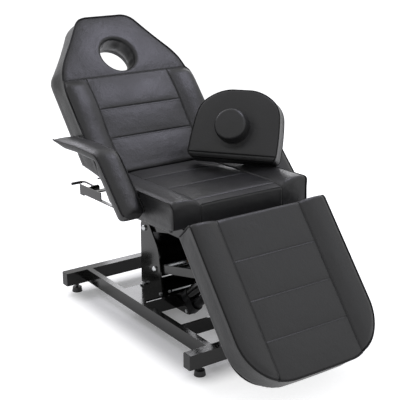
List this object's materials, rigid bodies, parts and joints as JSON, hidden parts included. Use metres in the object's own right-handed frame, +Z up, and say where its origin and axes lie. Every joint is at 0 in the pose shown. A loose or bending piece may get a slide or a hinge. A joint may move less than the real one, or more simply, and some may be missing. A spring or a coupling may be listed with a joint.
{
  "type": "tattoo chair",
  "caption": "Adjustable tattoo chair with a reclining back, leg rest, swing armrests, loose head pillow and an electric link lift on a steel base.",
  "frame": {"origin": "on the floor, under the middle of the whole chair as it stands at rest", "axes": "+Z up; +Y towards the head end; +X to the right-hand side as seen from the foot end, where the pillow stands"},
  "size_m": [0.8, 1.5193, 1.1397],
  "materials": {
    "black_upholstery": "satin synthetic leather over foam",
    "plywood": "raw plywood",
    "black_paint": "glossy powder coat",
    "black_plastic": "moulded, fine matt",
    "zinc_steel": "zinc plated",
    "bronze": "sintered bush",
    "chromed_rod": "polished",
    "cast_aluminium": "bare, satin"
  },
  "bodies": {
    "base": {"base_end_tubes": "black_paint", "base_side_rails": "black_paint", "base_crossbars": "black_paint", "base_deck": "black_paint", "tube_end_caps": "black_plastic", "column": "black_paint", "column_flange": "black_paint", "column_flange_bolts": "zinc_steel", "column_pivot_shafts": "zinc_steel", "stop_bar": "zinc_steel", "actuator_ears": "black_paint", "actuator_foot_pin": "zinc_steel"},
    "foot_rear_left": {"levelling_foot_rear_left": "black_plastic"},
    "foot_rear_right": {"levelling_foot_rear_right": "black_plastic"},
    "foot_front_left": {"levelling_foot_front_left": "black_plastic"},
    "foot_front_right": {"levelling_foot_front_right": "black_plastic"},
    "lower_links": {"lower_link_arms": "black_paint", "lower_link_bushes": "bronze"},
    "upper_links": {"upper_link_arms": "black_paint", "upper_link_bushes": "bronze"},
    "seat": {"lift_head": "black_paint", "lower_head_shaft": "zinc_steel", "upper_head_shaft": "zinc_steel", "seat_rails": "black_paint", "seat_cross_tubes": "black_paint", "back_hinge_ears": "black_paint", "back_hinge_pins": "zinc_steel", "leg_hinge_lugs": "black_paint", "leg_hinge_pins": "zinc_steel", "strut_anchor_pins": "zinc_steel", "seat_board": "plywood", "seat_cushion": "black_upholstery", "arm_sockets": "black_paint", "lever_stud": "zinc_steel"},
    "back": {"back_frame": "black_paint", "back_crank_pin": "zinc_steel", "back_board": "plywood", "back_cushion": "black_upholstery"},
    "leg_rest": {"leg_frame": "black_paint", "leg_strut_pin": "zinc_steel", "leg_board": "plywood", "leg_cushion": "black_upholstery"},
    "arm_left": {"arm_pad_left": "black_upholstery", "arm_bracket_left": "black_paint"},
    "arm_right": {"arm_pad_right": "black_upholstery", "arm_bracket_right": "black_paint"},
    "knob_left": {"arm_knob_left": "black_plastic"},
    "knob_right": {"arm_knob_right": "black_plastic"},
    "lever": {"recline_lever": "black_paint", "lever_grip": "black_plastic"},
    "actuator": {"actuator_housing": "cast_aluminium", "actuator_motor": "black_paint"},
    "actuator_ram": {"actuator_rod": "chromed_rod"},
    "back_gas_spring": {"back_strut_cylinder": "black_paint"},
    "back_gas_spring_rod": {"back_strut_rod": "chromed_rod"},
    "leg_gas_spring": {"leg_strut_cylinder": "black_paint"},
    "leg_gas_spring_rod": {"leg_strut_rod": "chromed_rod"},
    "pillow": {"head_pillow": "black_upholstery", "pillow_plug": "black_upholstery"}
  },
  "joints": [
    {"name": "lift_turn", "type": "hinge", "parent": "base", "child": "lower_links", "pos_m": [0, 0.16755, 0.192], "axis": [-1, 0, 0], "range_deg": [0, 30]},
    {"name": "upper_link_turn", "type": "hinge", "parent": "base", "child": "upper_links", "pos_m": [0, 0.24455, 0.346], "axis": [-1, 0, 0], "range_deg": [0, 30]},
    {"name": "seat_level_turn", "type": "hinge", "parent": "lower_links", "child": "seat", "pos_m": [0, -0.27002, 0.29705], "axis": [1, 0, 0], "range_deg": [0, 30]},
    {"name": "back_recline", "type": "hinge", "parent": "seat", "child": "back", "pos_m": [0, 0.22273, 0.57959], "axis": [1, 0, 0], "range_deg": [-48, 12]},
    {"name": "leg_rest_lift", "type": "hinge", "parent": "seat", "child": "leg_rest", "pos_m": [0, -0.30972, 0.52578], "axis": [-1, 0, 0], "range_deg": [0, 51]},
    {"name": "arm_left_swing", "type": "hinge", "parent": "seat", "child": "arm_left", "pos_m": [-0.314, 0.03458, 0.575], "axis": [-1, 0, 0], "range_deg": [0, 75]},
    {"name": "arm_right_swing", "type": "hinge", "parent": "seat", "child": "arm_right", "pos_m": [0.314, 0.03458, 0.575], "axis": [-1, 0, 0], "range_deg": [0, 75]},
    {"name": "knob_left_turn", "type": "hinge", "parent": "arm_left", "child": "knob_left", "pos_m": [-0.326, 0.03458, 0.575], "axis": [1, 0, 0], "continuous": true},
    {"name": "knob_right_turn", "type": "hinge", "parent": "arm_right", "child": "knob_right", "pos_m": [0.326, 0.03458, 0.575], "axis": [1, 0, 0], "continuous": true},
    {"name": "recline_lever_press", "type": "hinge", "parent": "seat", "child": "lever", "pos_m": [-0.2, 0.45562, 0.48012], "axis": [-1, 0, 0], "range_deg": [0, 15], "stiffness_Nm_per_rad": 2, "springref_deg": -11.46},
    {"name": "actuator_swing", "type": "hinge", "parent": "base", "child": "actuator", "pos_m": [-0.028, -0.00045, 0.058], "axis": [-1, 0, 0], "range_deg": [0, 29.7]},
    {"name": "actuator_extend", "type": "slide", "parent": "actuator", "child": "actuator_ram", "axis": [0, -0.7482, 0.6635], "range_m": [0, 0.1127]},
    {"name": "back_spring_swing", "type": "hinge", "parent": "seat", "child": "back_gas_spring", "pos_m": [0, -0.11121, 0.43], "axis": [1, 0, 0], "range_deg": [-0.8, 2.5]},
    {"name": "back_spring_extend", "type": "slide", "parent": "back_gas_spring", "child": "back_gas_spring_rod", "axis": [0, 0.9672, 0.2539], "range_m": [-0.0477, 0.0124]},
    {"name": "leg_spring_swing", "type": "hinge", "parent": "seat", "child": "leg_gas_spring", "pos_m": [0.11, -0.11043, 0.45499], "axis": [-1, 0, 0], "range_deg": [0, 16.7]},
    {"name": "leg_spring_extend", "type": "slide", "parent": "leg_gas_spring", "child": "leg_gas_spring_rod", "axis": [0, -0.9853, -0.171], "range_m": [0, 0.0738]},
    {"name": "pillow_lift_off", "type": "slide", "parent": "seat", "child": "pillow", "axis": [0, 0, 1], "range_m": [0, 0.3]},
    {"name": "foot_rear_left_turn", "type": "hinge", "parent": "base", "child": "foot_rear_left", "pos_m": [-0.243, 0.55155, 0], "axis": [0, 0, 1], "continuous": true},
    {"name": "foot_rear_right_turn", "type": "hinge", "parent": "base", "child": "foot_rear_right", "pos_m": [0.243, 0.55155, 0], "axis": [0, 0, 1], "continuous": true},
    {"name": "foot_front_left_turn", "type": "hinge", "parent": "base", "child": "foot_front_left", "pos_m": [-0.243, -0.37345, 0], "axis": [0, 0, 1], "continuous": true},
    {"name": "foot_front_right_turn", "type": "hinge", "parent": "base", "child": "foot_front_right", "pos_m": [0.243, -0.37345, 0], "axis": [0, 0, 1], "continuous": true}
  ],
  "couplings": [
    {"joint": "upper_link_turn", "follows": "lift_turn", "ratio": 1},
    {"joint": "seat_level_turn", "follows": "lift_turn", "ratio": 1},
    {"joint": "actuator_swing", "follows": "lift_turn", "ratio": 0.97872},
    {"joint": "actuator_extend", "follows": "lift_turn", "m_per_rad": 0.21373},
    {"joint": "back_spring_swing", "follows": "back_recline", "ratio": -0.044903},
    {"joint": "back_spring_extend", "follows": "back_recline", "m_per_rad": 0.056279},
    {"joint": "leg_spring_swing", "follows": "leg_rest_lift", "ratio": 0.32096},
    {"joint": "leg_spring_extend", "follows": "leg_rest_lift", "m_per_rad": 0.081965}
  ]
}
